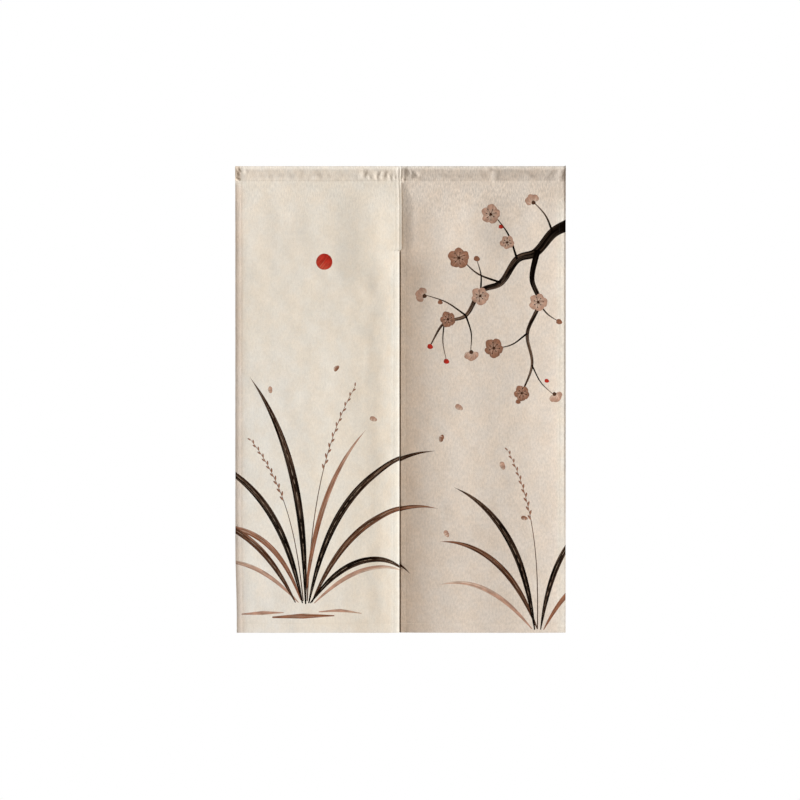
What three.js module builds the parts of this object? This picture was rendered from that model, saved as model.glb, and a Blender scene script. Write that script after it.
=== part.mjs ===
// Noren: a door curtain of two hemmed cloth panels, sewn together at the top and split below,
// each turned over at its top edge into an open pocket for a rod.
// Millimetres. +X runs to the right as seen from the front, +Y to the back, +Z up.
// The origin is the middle of the top edge, where a rod would carry the curtain.
// A drop is a distance below that edge.
import * as THREE from "three";

// Driving dimensions
const CURTAIN_WIDTH = 850;
const CURTAIN_DROP = 1200;
const CLOTH = 1.2; // one layer of the cloth
const HEM = 2.2; // a turned and pressed hem
const SIDE_HEM = 17; // width of the hems down the sides
const BOTTOM_HEM = 25; // height of the hem along the bottom
const HEM_STEP = 0.8; // run of the step from a hem to the single cloth
const POCKET_DROP = 38.5; // drop of the stitches that close the pocket
const POCKET_RADIUS = 9; // outside of the pocket's round top
const POCKET_SEAM = 6; // height in which the pocket's two layers lie sewn together
const JOINED_DROP = 216; // the panels are sewn together down to here
const OVERLAP = 8; // the left panel lies this far over the right one
const GAP = 0.3; // between neighbouring pieces

const HALF_WIDTH = CURTAIN_WIDTH / 2;
const PANEL_WIDTH = HALF_WIDTH + OVERLAP / 2;

// How the cloth hangs: it leaves the pocket flat and slackens below it, and below the stitches that join
// the panels their edges part at once and then hang free
const SLACK_RUN = 90;
const OUTER_DROP = 400; // the left outer edge turns over its full width from this drop on
const PART_RUN = 12;
const FREE_RUN = 70;
const SLIT_DRIFT = 7; // the left panel's free edge hangs this far to the left
const DRIFT_REACH = 70;
const TUCK = 5.2; // the right panel steps back this far to pass under the left one
const TUCK_UNDER = 12; // the step's start, under the left panel's edge
const TUCK_REACH = 34; // the step's end, beyond the left panel's edge
const TUCK_RUN = 16; // the step is complete this far below the pocket, where the panel's corner comes in
const CORNER_RUN = 34;
const CORNER_REACH = 40;

// Soft folds down a panel: x is the middle, half is half the width, and depth is positive to the back.
// A fold fades in below the drop from and out above the drop to, over the length fade.
const LEFT_FOLDS = [
  { x: -46, half: 48, depth: -1.2, from: 120, to: Infinity, fade: 190 },
  { x: -150, half: 84, depth: 0.9, from: 260, to: Infinity, fade: 260 },
  { x: -352, half: 46, depth: 0.6, from: 38, to: 250, fade: 70 },
  { x: -232, half: 52, depth: -0.6, from: 38, to: 210, fade: 60 },
  { x: -86, half: 90, depth: -3.6, from: 38, to: 330, fade: 90 },
];
const RIGHT_FOLDS = [
  { x: 205, half: 96, depth: 3.4, from: 38, to: 270, fade: 80 },
  { x: 92, half: 60, depth: -0.8, from: 44, to: 420, fade: 110 },
  { x: 300, half: 120, depth: -1.2, from: 60, to: Infinity, fade: 240 },
  { x: 205, half: 90, depth: 0.5, from: 480, to: Infinity, fade: 280 },
  { x: 366, half: 44, depth: 0.6, from: 38, to: 230, fade: 60 },
];

// Edges that turn to the back: reach is the width that turns, and depth is how far the edge itself goes
const LEFT_TOP_CURLS = [{ reach: 17, depth: 2.3 }];
const LEFT_LOW_CURLS = [
  { reach: 17, depth: 1 },
  { reach: 42, depth: 2.3 },
];
const LEFT_SLIT_CURLS = [
  { reach: 30, depth: 1.2 },
  { reach: 8, depth: 0.6 },
];
const RIGHT_SLIT_CURLS = [{ reach: 150, depth: 10 }];
const RIGHT_SLIT_ROLL = [{ reach: 4.8, depth: 10 }];
const RIGHT_OUTER_CURLS = [
  { reach: 120, depth: 5 },
  { reach: 40, depth: 2 },
];

// The pocket is a little uneven along its length: squeeze is the change of its depth
const POCKET_RIPPLES = [
  { x: -372, half: 46, squeeze: -0.07 },
  { x: -226, half: 70, squeeze: 0.05 },
  { x: -92, half: 58, squeeze: -0.06 },
  { x: 96, half: 52, squeeze: 0.05 },
  { x: 214, half: 74, squeeze: -0.08 },
  { x: 342, half: 60, squeeze: 0.04 },
];
const MOUTH_SQUEEZE = -0.16; // the pocket's open ends are drawn in
const MOUTH_REACH = 26;
const POCKET_STEPS = 16;
const POCKET_ARC_STEPS = 12;

// Columns across a panel, from its outer edge to its edge at the slit, and rows from the bottom up:
// each stretch ends at to and is split into steps
const COLUMNS = [
  { to: 4, steps: 2 },
  { to: 13, steps: 3 },
  { to: SIDE_HEM, steps: 1 },
  { to: SIDE_HEM + HEM_STEP, steps: 1 },
  { to: 70, steps: 3 },
  { to: PANEL_WIDTH - 150, steps: 8 },
  { to: PANEL_WIDTH - 46, steps: 5 },
  { to: PANEL_WIDTH - SIDE_HEM - HEM_STEP, steps: 3 },
  { to: PANEL_WIDTH - SIDE_HEM, steps: 1 },
  { to: PANEL_WIDTH - 6, steps: 3 },
  { to: PANEL_WIDTH, steps: 3 },
];
const ROWS = [
  { to: BOTTOM_HEM, steps: 1 },
  { to: BOTTOM_HEM + HEM_STEP, steps: 1 },
  { to: CURTAIN_DROP - JOINED_DROP - FREE_RUN, steps: 14 },
  { to: CURTAIN_DROP - JOINED_DROP - PART_RUN, steps: 3 },
  { to: CURTAIN_DROP - JOINED_DROP, steps: 4 },
  { to: CURTAIN_DROP - POCKET_DROP - CORNER_RUN, steps: 4 },
  { to: CURTAIN_DROP - POCKET_DROP - TUCK_RUN, steps: 3 },
  { to: CURTAIN_DROP - POCKET_DROP - GAP, steps: 3 },
];

const CLOTH_COLOUR = { left: 0xe0d7c7, right: 0xd6c8b8 };
const CLOTH_ROUGHNESS = 0.95;

const { smoothstep } = THREE.MathUtils;

function stations(stretches) {
  const places = [0];
  for (const { to, steps } of stretches) {
    const from = places.at(-1);
    for (let step = 1; step <= steps; step++) {
      places.push(from + ((to - from) * step) / steps);
    }
  }
  return places;
}

function swell(offset, half) {
  return Math.abs(offset) < half ? 0.5 + 0.5 * Math.cos((Math.PI * offset) / half) : 0;
}

function curl(distance, turns) {
  let total = 0;
  for (const { reach, depth } of turns) {
    total += depth * Math.max(0, 1 - distance / reach) ** 2;
  }
  return total;
}

function slack(drop) {
  return smoothstep(drop, POCKET_DROP, POCKET_DROP + SLACK_RUN);
}

function parting(drop) {
  return smoothstep(drop, JOINED_DROP, JOINED_DROP + PART_RUN);
}

function freedom(drop) {
  return smoothstep(drop, JOINED_DROP, JOINED_DROP + FREE_RUN);
}

function tuck(x, drop) {
  const across = 1 - smoothstep(x, OVERLAP / 2 - TUCK_UNDER, OVERLAP / 2 + TUCK_REACH);
  const down = smoothstep(drop, POCKET_DROP, POCKET_DROP + TUCK_RUN) * (1 - freedom(drop));
  return TUCK * across * down;
}

function foldDepth(folds, x, drop) {
  let total = 0;
  for (const { x: middle, half, depth, from, to, fade } of folds) {
    const fadeIn = smoothstep(drop, from, from + fade);
    const fadeOut = 1 - smoothstep(drop, to - fade, to);
    total += depth * swell(x - middle, half) * fadeIn * fadeOut;
  }
  return total;
}

// The front face of each panel: its depth behind the plane through the rod
function leftFront(x, drop) {
  const fromOuter = x + HALF_WIDTH;
  const low = smoothstep(drop, POCKET_DROP, OUTER_DROP);
  const narrow = curl(fromOuter, LEFT_TOP_CURLS) * slack(drop) * (1 - low);
  const wide = curl(fromOuter, LEFT_LOW_CURLS) * low;
  const slit = curl(OVERLAP / 2 - x, LEFT_SLIT_CURLS) * freedom(drop);
  return -CLOTH + foldDepth(LEFT_FOLDS, x, drop) + narrow + wide + slit;
}

function rightFront(x, drop) {
  const fromSlit = x + OVERLAP / 2;
  const slit = curl(fromSlit, RIGHT_SLIT_CURLS) * freedom(drop);
  const roll = curl(fromSlit, RIGHT_SLIT_ROLL) * parting(drop);
  const outer = curl(HALF_WIDTH - x, RIGHT_OUTER_CURLS) * slack(drop);
  return -CLOTH + foldDepth(RIGHT_FOLDS, x, drop) + tuck(x, drop) + slit + roll + outer;
}

// How far a point of the cloth hangs to the side: the left panel's free edge, and the right panel's top
// corner, which starts where the left panel ends
function leftDrift(x, drop) {
  return -SLIT_DRIFT * parting(drop) * (1 - smoothstep(OVERLAP / 2 - x, 0, DRIFT_REACH));
}

function rightDrift(x, drop) {
  const down = 1 - smoothstep(drop, POCKET_DROP + TUCK_RUN, POCKET_DROP + CORNER_RUN);
  return (OVERLAP + GAP) * down * (1 - smoothstep(x + OVERLAP / 2, 0, CORNER_REACH));
}

// Cloth thickness along Y, so that a sloping part is as thick as a flat one
function thickness(front, x, drop, columnFromEdge) {
  const inHem = columnFromEdge <= SIDE_HEM || drop >= CURTAIN_DROP - BOTTOM_HEM;
  const slope = front(x + GAP, drop) - front(x - GAP, drop);
  return (inHem ? HEM : CLOTH) * Math.hypot(1, slope / (2 * GAP));
}

// A panel is a thin box, split into columns and rows, whose points are moved onto the hanging cloth
function panel({ name, side, front, drift, colour }) {
  const columns = stations(COLUMNS);
  const rows = stations(ROWS);
  const lastColumn = columns.length - 1;
  const lastRow = rows.length - 1;
  const geometry = new THREE.BoxGeometry(1, 1, 1, lastColumn, 1, lastRow);
  const points = geometry.getAttribute("position");
  for (let i = 0; i < points.count; i++) {
    const across = Math.round((points.getX(i) + 0.5) * lastColumn);
    const up = Math.round((points.getZ(i) + 0.5) * lastRow);
    const column = columns[side < 0 ? across : lastColumn - across];
    const columnFromEdge = Math.min(column, PANEL_WIDTH - column);
    const x = side * (HALF_WIDTH - column);
    const drop = CURTAIN_DROP - rows[up];
    const back = points.getY(i) > 0 ? thickness(front, x, drop, columnFromEdge) : 0;
    points.setXYZ(i, x + drift(x, drop), front(x, drop) + back, -drop);
  }
  geometry.computeVertexNormals();
  return clothMesh(name, geometry, colour);
}

// The pocket's section, seen along X: a round top that narrows to the two layers sewn together.
// The outside and the inside have the same form.
function loop(outline, radius, seamHalf, seamDrop) {
  const centre = -POCKET_RADIUS;
  const below = seamDrop - POCKET_RADIUS;
  const lean = Math.asin(radius / Math.hypot(below, seamHalf)) - Math.atan2(seamHalf, below);
  outline.moveTo(-seamHalf, -seamDrop);
  outline.lineTo(seamHalf, -seamDrop);
  outline.absarc(0, centre, radius, -lean, Math.PI + lean, false);
  outline.closePath();
  return outline;
}

function mouthSqueeze(x, from, to) {
  const inward = Math.min(x - from, to - x);
  return MOUTH_SQUEEZE * (1 - smoothstep(inward, 0, MOUTH_REACH));
}

function rodPocket({ name, from, to, colour }) {
  const section = loop(new THREE.Shape(), POCKET_RADIUS, CLOTH, POCKET_DROP);
  const hollow = loop(new THREE.Path(), POCKET_RADIUS - CLOTH, GAP, POCKET_DROP - POCKET_SEAM);
  section.holes.push(hollow);
  const geometry = new THREE.ExtrudeGeometry(section, {
    depth: to - from,
    steps: POCKET_STEPS,
    curveSegments: POCKET_ARC_STEPS,
    bevelEnabled: false,
  });
  const points = geometry.getAttribute("position");
  for (let i = 0; i < points.count; i++) {
    const x = from + points.getZ(i);
    let squeeze = 1 + mouthSqueeze(x, from, to);
    for (const ripple of POCKET_RIPPLES) {
      squeeze += ripple.squeeze * swell(x - ripple.x, ripple.half);
    }
    points.setXYZ(i, x, points.getX(i) * squeeze, points.getY(i));
  }
  geometry.computeVertexNormals();
  return clothMesh(name, geometry, colour);
}

function clothMesh(name, geometry, colour) {
  const cloth = new THREE.MeshStandardMaterial({ color: colour, roughness: CLOTH_ROUGHNESS, metalness: 0 });
  const mesh = new THREE.Mesh(geometry, cloth);
  mesh.name = name;
  return mesh;
}

const noren = new THREE.Group();
noren.name = "noren";
noren.add(
  rodPocket({
    name: "rod_pocket_left",
    from: -HALF_WIDTH,
    to: (OVERLAP - GAP) / 2,
    colour: CLOTH_COLOUR.left,
  }),
  rodPocket({
    name: "rod_pocket_right",
    from: (OVERLAP + GAP) / 2,
    to: HALF_WIDTH,
    colour: CLOTH_COLOUR.right,
  }),
  panel({ name: "panel_left", side: -1, front: leftFront, drift: leftDrift, colour: CLOTH_COLOUR.left }),
  panel({ name: "panel_right", side: 1, front: rightFront, drift: rightDrift, colour: CLOTH_COLOUR.right }),
);

export default noren;
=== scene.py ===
"""A noren: two printed cloth panels that hang from a rod pocket, sewn together at the top and split below.

Metres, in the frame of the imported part: +X to the right as seen from the front, +Y to the back, +Z up,
with the origin in the middle of the top edge. A drop is a distance below that edge. A point of a panel's
flat cloth is (x, run): run is the way along the cloth from the top of the pocket, positive down the front.
"""

import math
from types import SimpleNamespace

import bmesh
import bpy
import numpy as np
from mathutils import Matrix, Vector
from mathutils.geometry import delaunay_2d_cdt


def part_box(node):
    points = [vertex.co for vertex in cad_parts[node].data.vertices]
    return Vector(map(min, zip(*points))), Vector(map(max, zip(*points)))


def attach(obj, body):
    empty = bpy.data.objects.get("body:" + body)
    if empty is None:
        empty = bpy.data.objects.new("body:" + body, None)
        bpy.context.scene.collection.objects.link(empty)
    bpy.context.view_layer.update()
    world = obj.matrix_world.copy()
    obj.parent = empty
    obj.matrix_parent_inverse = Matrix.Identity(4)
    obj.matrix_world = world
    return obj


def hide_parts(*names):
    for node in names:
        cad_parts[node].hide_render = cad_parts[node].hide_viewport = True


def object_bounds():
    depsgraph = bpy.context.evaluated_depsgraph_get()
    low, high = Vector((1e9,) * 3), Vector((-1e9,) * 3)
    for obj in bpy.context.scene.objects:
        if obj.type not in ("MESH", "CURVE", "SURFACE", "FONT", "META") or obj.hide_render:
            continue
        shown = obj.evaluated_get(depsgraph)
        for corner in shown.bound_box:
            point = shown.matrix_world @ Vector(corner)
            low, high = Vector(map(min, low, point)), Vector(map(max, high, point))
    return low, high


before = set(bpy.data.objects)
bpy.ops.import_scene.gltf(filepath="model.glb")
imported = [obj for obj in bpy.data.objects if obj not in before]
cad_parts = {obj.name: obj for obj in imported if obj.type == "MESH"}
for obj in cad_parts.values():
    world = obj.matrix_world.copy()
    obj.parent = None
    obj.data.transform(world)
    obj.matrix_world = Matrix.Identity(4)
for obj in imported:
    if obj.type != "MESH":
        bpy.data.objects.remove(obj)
cad_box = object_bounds()

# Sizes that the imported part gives
HALF_WIDTH = cad_box[1][0]
CURTAIN_DROP = -cad_box[0][2]
POCKET_DROP = -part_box("rod_pocket_left")[0].z
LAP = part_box("panel_left")[1].x  # the left panel's edge passes the middle by this much

# Sizes of the sewing and of the cloth
POCKET_RADIUS = 0.009
JOINED_DROP = 0.216
SEAM_FRONT = 0.0012  # the cloth's face at the pocket's stitches, in front of the rod's plane
SHEET = 0.0008  # one layer
HEM_SHEET = 0.0018  # a turned hem
SIDE_HEM = 0.018
BOTTOM_HEM = 0.025
HEM_STEP = 0.0007
HEM_STITCH = 0.0015  # from a hem's inner edge to its stitches
FLAP_BELOW = 0.002  # the pocket's turned edge at the back, below its stitches
POCKET_CLEAR = 0.0002  # between the two pockets where they meet

# How the cloth hangs: it leaves the pocket flat and slackens below it, and below the stitches that join
# the panels their edges part at once and then hang free
SLACK_RUN = 0.090
EDGE_RUN = 0.012
OUTER_DROP = 0.400  # the left outer edge turns over its full width from this drop on
PART_RUN = 0.008
FREE_RUN = 0.070
SLIT_DRIFT = 0.0067  # the left panel's free edge hangs this far to the left
DRIFT_REACH = 0.070
JOIN_DRIFT = SimpleNamespace(top=0.0024, low=0.0010, run=0.060)  # and its joined edge this far
OUTER_DRIFT = SimpleNamespace(far=0.0036, reach=0.12, start=0.98, end=1.16)  # its outer edge, to the right
TUCK = 0.0052  # the right panel steps back this far to pass under the left one
TUCK_UNDER = 0.012
TUCK_REACH = 0.034
TUCK_RUN = 0.020
TUCK_START = 0.0345
TUCK_END = (0.170, 0.262)
# The step starts with these shares of its depth and reach, and grows to the whole of them
TUCK_GROWS = SimpleNamespace(start=0.0485, end=0.1085, depth=0.5, reach=0.55)
CORNER_START = 0.003  # below the pocket
CORNER_RUN = 0.020
CORNER_REACH = 0.040
# The right outer edge stands forward, at the bottom by the share low of its depth
LIP = SimpleNamespace(depth=0.0017, reach=0.0041, start=0.66, end=1.05, low=0.35)


def table(columns, *rows):
    """Rows of a table as objects whose fields are the named columns."""
    names = columns.split()
    return [SimpleNamespace(**dict(zip(names, row, strict=True))) for row in rows]


# Soft folds: depth is positive to the back; a fold fades in below the drop start and out above the drop end
FOLD = "x half depth start end fade"
LEFT_FOLDS = table(
    FOLD,
    (-0.046, 0.048, -0.0012, 0.120, None, 0.190),
    (-0.150, 0.084, 0.0009, 0.260, None, 0.260),
    (-0.352, 0.046, 0.0006, 0.038, 0.250, 0.070),
    (-0.232, 0.052, -0.0006, 0.038, 0.210, 0.060),
    (-0.086, 0.090, -0.0036, 0.038, 0.330, 0.090),
    (0.004, 0.026, 0.0005, 0.038, 0.228, 0.030),
)
RIGHT_FOLDS = table(
    FOLD,
    (0.205, 0.096, 0.0034, 0.038, 0.270, 0.080),
    (0.092, 0.060, -0.0008, 0.044, 0.420, 0.110),
    (0.300, 0.120, -0.0012, 0.060, None, 0.240),
    (0.205, 0.090, 0.0005, 0.480, None, 0.280),
    (0.366, 0.044, 0.0006, 0.038, 0.230, 0.060),
)

# Edges that turn: the width that turns, and how far to the back the edge itself goes
CURL = "reach depth"
LEFT_EDGE_CURLS = table(CURL, (0.010, 0.0011))
LEFT_TOP_CURLS = table(CURL, (0.024, 0.0012))
LEFT_LOW_CURLS = table(CURL, (0.042, 0.0023))
LEFT_SLIT_CURLS = table(CURL, (0.030, 0.0012), (0.008, 0.0008))
RIGHT_SLIT_CURLS = table(CURL, (0.150, 0.0100))
RIGHT_SLIT_ROLL = table(CURL, (0.0048, 0.0100))
RIGHT_OUTER_CURLS = table(CURL, (0.120, 0.0050), (0.040, 0.0020))
GROOVE = table(CURL, (0.0044, 0.0012))  # along the left panel's edge, where the panels are joined
GROOVE_TOP = (0.004, 0.012)

# The pocket is a little uneven along its length
POCKET_RIPPLES = table(
    "x half squeeze",
    (-0.372, 0.046, -0.07),
    (-0.226, 0.070, 0.05),
    (-0.092, 0.058, -0.06),
    (0.096, 0.052, 0.05),
    (0.214, 0.074, -0.08),
    (0.342, 0.060, 0.04),
)
MOUTH_SQUEEZE = -0.16
MOUTH_REACH = 0.026

# Creases of the pockets: turn is from upright, positive as the top leans to the right; half_width is that
# of the right wall, and left_wall how many times as wide the left one is; a negative depth is a ridge
CREASE = "x drop turn half_length half_width depth left_wall"
CREASES = table(
    CREASE,
    (-0.4155, 0.009, -29, 0.011, 0.0042, 0.0014, 1.0),
    (-0.4190, 0.020, 4, 0.008, 0.0034, 0.0012, 1.0),
    (-0.4180, 0.0345, -62, 0.010, 0.0042, 0.0021, 1.0),
    (-0.3960, 0.013, -20, 0.012, 0.0070, 0.0008, 1.5),
    (0.0080, 0.0358, 8, 0.0095, 0.0078, 0.0018, 1.0),
    (0.0055, 0.024, 0, 0.016, 0.0036, -0.0002, 1.0),
    (0.0303, 0.0164, -37, 0.018, 0.0042, 0.0007, 1.0),
    (0.0410, 0.0229, -36, 0.015, 0.0088, -0.0009, 0.9),
    (0.4150, 0.022, 28, 0.026, 0.0150, 0.0021, 1.15),
    (0.3800, 0.022, 40, 0.028, 0.0080, 0.0009, 1.0),
    (-0.0415, 0.021, 20, 0.015, 0.0068, 0.0013, 1.8),
    (-0.0320, 0.0215, 12, 0.012, 0.0070, -0.0007, 1.0),
    (-0.0590, 0.022, 24, 0.014, 0.0070, 0.0013, 1.8),
    (-0.0930, 0.021, 24, 0.015, 0.0074, 0.0013, 1.8),
    (-0.0140, 0.029, 4, 0.010, 0.0040, 0.0006, 1.6),
    (0.0420, 0.034, 76, 0.016, 0.0050, 0.0008, 1.0),
    (0.2250, 0.008, -25, 0.012, 0.0048, 0.0016, 1.2),
    (0.2440, 0.024, 10, 0.024, 0.0190, 0.0021, 0.8),
    (0.1950, 0.026, 74, 0.015, 0.0036, 0.0009, 1.0),
)

# Where a pocket's mouth falls in: to the left of a line through a place, with the turn of a crease, the
# cloth falls back, and no further from where it stops
FACETS = table(
    "panel x drop turn slope stop",
    ("panel_right", 0.0275, 0.019, -31, 0.20, 0.0085),
    ("panel_left", -0.4105, 0.019, -14, 0.15, -0.4250),
)
FACET_SOFT = 0.003
FACET_TOP = (0.003, 0.012)
FACET_END = (0.022, 0.0425)

# Small unevenness of the hanging cloth: waves in many directions, and dents where the pocket is gathered
WAVES = 26
WAVE_LENGTH = (0.018, 0.110)
WAVE_SLOPE = 0.0042
MOUTH_CLEAR = 0.044  # the pocket's ends have creases of their own
PUCKERS = table(
    "pitch half_width depth",
    (0.015, (0.0030, 0.0060), (0.0002, 0.0009)),
    (0.036, (0.0085, 0.0165), (0.0002, 0.0010)),
)
PUCKER_STRAY = (-0.4, 0.4)  # shares of the pitch
PUCKER_PLACE = (0.45, 0.85)  # shares of the pocket's height
PUCKER_HALF_LENGTH = (0.25, 0.55)
PUCKER_TURN = (-20, 20)
SEED = 11


def waves():
    random = np.random.default_rng(SEED)
    length = np.exp(random.uniform(*np.log(WAVE_LENGTH), WAVES))
    direction = random.uniform(0, np.pi, WAVES)
    phase = random.uniform(0, 2 * np.pi, WAVES)
    depth = WAVE_SLOPE * length / (2 * np.pi)
    return table("length direction phase depth", *zip(length, direction, phase, depth))


def puckers():
    random = np.random.default_rng(SEED + 1)
    rows = []
    for kind in PUCKERS:
        x = np.arange(MOUTH_CLEAR - HALF_WIDTH, HALF_WIDTH - MOUTH_CLEAR, kind.pitch)
        x = x + random.uniform(*PUCKER_STRAY, len(x)) * kind.pitch
        drop = random.uniform(*PUCKER_PLACE, len(x)) * POCKET_DROP
        turn = random.uniform(*PUCKER_TURN, len(x))
        half_length = random.uniform(*PUCKER_HALF_LENGTH, len(x)) * POCKET_DROP
        half_width = random.uniform(*kind.half_width, len(x))
        depth = random.uniform(*kind.depth, len(x))
        rows += zip(x, drop, turn, half_length, half_width, depth, np.ones(len(x)))
    return table(CREASE, *rows)


def smoothstep(value, low, high):
    t = np.clip((value - low) / (high - low), 0, 1)
    return t * t * (3 - 2 * t)


def swell(offset, half):
    return np.where(np.abs(offset) < half, 0.5 + 0.5 * np.cos(np.pi * offset / half), 0)


def curl(distance, turns):
    return sum(t.depth * np.maximum(0, 1 - distance / t.reach) ** 2 for t in turns)


def slack(drop):
    return smoothstep(drop, POCKET_DROP, POCKET_DROP + SLACK_RUN)


def freedom(drop):
    return smoothstep(drop, JOINED_DROP, JOINED_DROP + FREE_RUN)


def fold_depth(folds, x, drop):
    total = 0 * x
    for fold in folds:
        shape = swell(x - fold.x, fold.half) * smoothstep(drop, fold.start, fold.start + fold.fade)
        if fold.end is not None:
            shape = shape * (1 - smoothstep(drop, fold.end - fold.fade, fold.end))
        total = total + fold.depth * shape
    return total


def parting(drop):
    return smoothstep(drop, JOINED_DROP - PART_RUN / 2, JOINED_DROP + PART_RUN / 2)


def join_drift(drop):
    high = 1 - smoothstep(drop, POCKET_DROP, POCKET_DROP + JOIN_DRIFT.run)
    return JOIN_DRIFT.low + (JOIN_DRIFT.top - JOIN_DRIFT.low) * high


def tuck(x, drop):
    """How far back the right panel passes under the left one, with a groove along that one's edge."""
    grown = smoothstep(drop, TUCK_GROWS.start, TUCK_GROWS.end)
    reach = TUCK_REACH * (TUCK_GROWS.reach + (1 - TUCK_GROWS.reach) * grown)
    depth = TUCK * (TUCK_GROWS.depth + (1 - TUCK_GROWS.depth) * grown)
    across = 1 - smoothstep(x, LAP - TUCK_UNDER, LAP + reach)
    step = depth * across * smoothstep(drop, TUCK_START, TUCK_START + TUCK_RUN)
    groove = curl(np.maximum(x - LAP + join_drift(drop), 0), GROOVE) * smoothstep(drop, *GROOVE_TOP)
    return step * (1 - smoothstep(drop, *TUCK_END)) + groove * (1 - parting(drop))


def dent(panel, x, drop):
    """How far a pocket falls back at its mouth."""
    total = 0 * x
    for facet in FACETS:
        if facet.panel == panel:
            angle = math.radians(facet.turn)
            left, up = facet.x - np.maximum(x, facet.stop), facet.drop - drop
            beyond = np.maximum(left * math.cos(angle) + up * math.sin(angle), 0)
            total = total + facet.slope * beyond**2 / (beyond + FACET_SOFT)
    return total * smoothstep(drop, *FACET_TOP) * (1 - smoothstep(drop, *FACET_END))


def left_front(x, drop):
    from_outer = x + HALF_WIDTH
    low = smoothstep(drop, POCKET_DROP, OUTER_DROP)
    edge = curl(from_outer, LEFT_EDGE_CURLS) * smoothstep(drop, POCKET_DROP, POCKET_DROP + EDGE_RUN)
    narrow = curl(from_outer, LEFT_TOP_CURLS) * slack(drop) * (1 - low)
    wide = curl(from_outer, LEFT_LOW_CURLS) * low
    slit = curl(LAP - x, LEFT_SLIT_CURLS) * parting(drop)
    return -SEAM_FRONT + fold_depth(LEFT_FOLDS, x, drop) + edge + narrow + wide + slit


def right_front(x, drop):
    slit = curl(x + LAP, RIGHT_SLIT_CURLS) * freedom(drop)
    roll = curl(x + LAP, RIGHT_SLIT_ROLL) * parting(drop)
    outer = curl(HALF_WIDTH - x, RIGHT_OUTER_CURLS) * slack(drop)
    return -SEAM_FRONT + fold_depth(RIGHT_FOLDS, x, drop) + slit + roll + outer


def left_shift(x, run):
    """The left panel's edge at the middle hangs a little to the left, and its bottom corner to the right."""
    near_slit = 1 - smoothstep(LAP - x, 0, DRIFT_REACH)
    near_outer = 1 - smoothstep(x + HALF_WIDTH, 0, OUTER_DRIFT.reach)
    drop = drop_at(run)
    joined = join_drift(drop)
    inward = OUTER_DRIFT.far * smoothstep(drop, OUTER_DRIFT.start, OUTER_DRIFT.end) * near_outer
    return inward - (joined + (SLIT_DRIFT - joined) * parting(drop)) * near_slit


def right_shift(x, run):
    """The right pocket starts where the left one ends; below, its panel passes under the left one."""
    near_slit = 1 - smoothstep(x + LAP, 0, CORNER_REACH)
    start = POCKET_DROP + CORNER_START
    down = 1 - smoothstep(drop_at(run), start, start + CORNER_RUN)
    return (2 * LAP - JOIN_DRIFT.top + POCKET_CLEAR) * down * near_slit


class PocketSide:
    """One side of the pocket's section: a quarter of its round top, then straight to its stitches."""

    def __init__(self, seam_out):
        below = POCKET_DROP - POCKET_RADIUS
        to_seam = math.hypot(below, seam_out)
        self.lean = math.asin(POCKET_RADIUS / to_seam) - math.atan2(seam_out, below)
        self.arc = POCKET_RADIUS * (math.pi / 2 + self.lean)
        self.length = self.arc + math.sqrt(to_seam**2 - POCKET_RADIUS**2)

    def at(self, run):
        """How far out of the rod's plane, and how high, the cloth's face is at a run from the top."""
        turn = np.minimum(run, self.arc) / POCKET_RADIUS
        straight = np.clip(run, self.arc, self.length) - self.arc
        beyond = np.maximum(run - self.length, 0)
        out = POCKET_RADIUS * np.sin(turn) - straight * math.sin(self.lean)
        above_seam = self.length - np.clip(run, self.arc, self.length)
        out = out - POCKET_EASE * above_seam * math.sin(self.lean) * (1 - smoothstep(above_seam, 0, EASE_RUN))
        height = POCKET_RADIUS * (np.cos(turn) - 1) - straight * math.cos(self.lean) - beyond
        return out, height


POCKET_EASE = 0.35  # the pocket's sides flatten towards its stitches
EASE_RUN = 0.020
POCKET_FRONT = PocketSide(SEAM_FRONT)
POCKET_BACK = PocketSide(2 * SHEET - SEAM_FRONT + HEM_STEP / 4)
FRONT_RUN = POCKET_FRONT.length
BACK_RUN = -POCKET_BACK.length
TOP_RUN = BACK_RUN - FLAP_BELOW  # where the cloth starts, at the back
END_RUN = FRONT_RUN + CURTAIN_DROP - POCKET_DROP
TO_RUN = np.array([0, FRONT_RUN - POCKET_DROP])  # from x and drop on the hanging cloth to x and run


def drop_at(run):
    return POCKET_DROP + run - FRONT_RUN


def run_at(drop):
    return FRONT_RUN + drop - POCKET_DROP


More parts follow.
